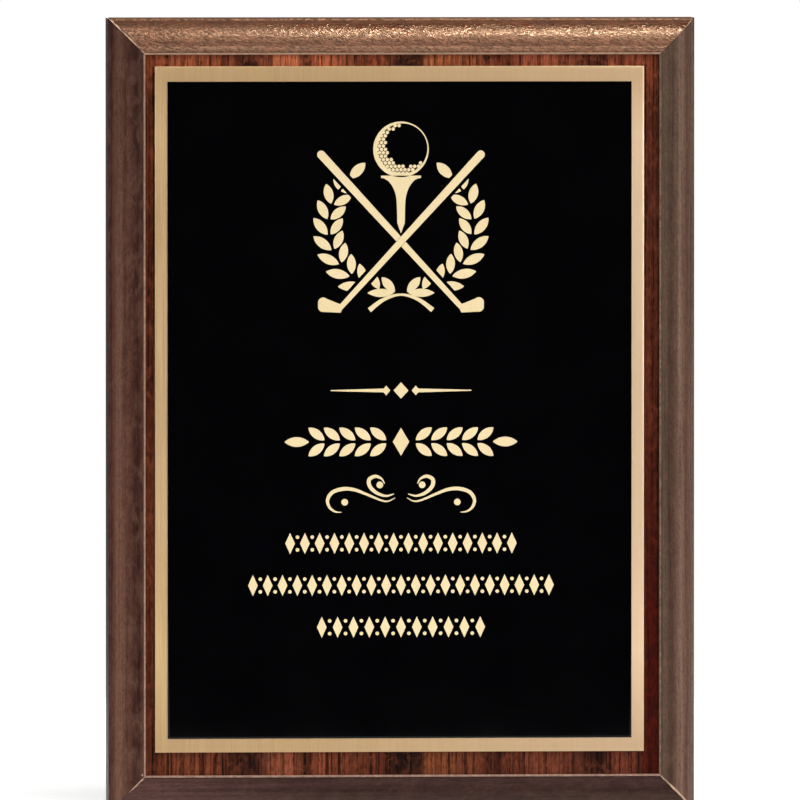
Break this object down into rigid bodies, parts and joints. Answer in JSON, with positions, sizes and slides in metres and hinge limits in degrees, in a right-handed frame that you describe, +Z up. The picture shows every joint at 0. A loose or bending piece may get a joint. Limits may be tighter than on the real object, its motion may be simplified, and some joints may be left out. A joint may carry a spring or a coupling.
{
  "type": "wooden plaque",
  "caption": "Upright wall plaque: walnut-print board with mitred edge moulding, brass plate with black panel and raised gold golf artwork, and a keyhole hanger behind.",
  "frame": {"origin": "centre of the back face, which lies against the wall", "axes": "+X to the right as seen from the front, +Z up, +Y into the wall; the front faces -Y"},
  "size_m": [0.15, 0.0169, 0.2026],
  "materials": {
    "core_board": "raw medium-density fibreboard",
    "rail_core": "raw pale fibreboard, seen along the lip and the mitres",
    "walnut_face": "satin walnut print with upright grain",
    "walnut_wrap": "glossy walnut print with a slightly rippled lacquer",
    "backing": "dark brown melamine backing sheet",
    "nail_steel": "zinc plated",
    "tape": "double-sided foam tape",
    "brass": "satin, brushed upright",
    "black_enamel": "black enamel",
    "gold_artwork": "pale gold, satin",
    "hanger_steel": "zinc plated",
    "screw_steel": "zinc plated"
  },
  "bodies": {
    "root": {"core_board": "core_board", "face_sheet": "walnut_face", "backing_sheet": "backing", "rail_core_top": "rail_core", "rail_core_bottom": "rail_core", "rail_core_left": "rail_core", "rail_core_right": "rail_core", "rail_wrap_top": "walnut_wrap", "rail_wrap_bottom": "walnut_wrap", "rail_wrap_left": "walnut_wrap", "rail_wrap_right": "walnut_wrap", "corner_v_nails": "nail_steel", "plate_tape": "tape", "brass_plate": "brass", "black_panel": "black_enamel", "gold_ball": "gold_artwork", "gold_tee": "gold_artwork", "gold_club_left": "gold_artwork", "gold_club_right": "gold_artwork", "gold_laurel_left": "gold_artwork", "gold_laurel_right": "gold_artwork", "gold_scrolls": "gold_artwork", "gold_dedication_rule": "gold_artwork", "gold_name_garland": "gold_artwork", "gold_citation_rows": "gold_artwork", "hanger_plate": "hanger_steel", "hanger_screws": "screw_steel"}
  },
  "joints": []
}
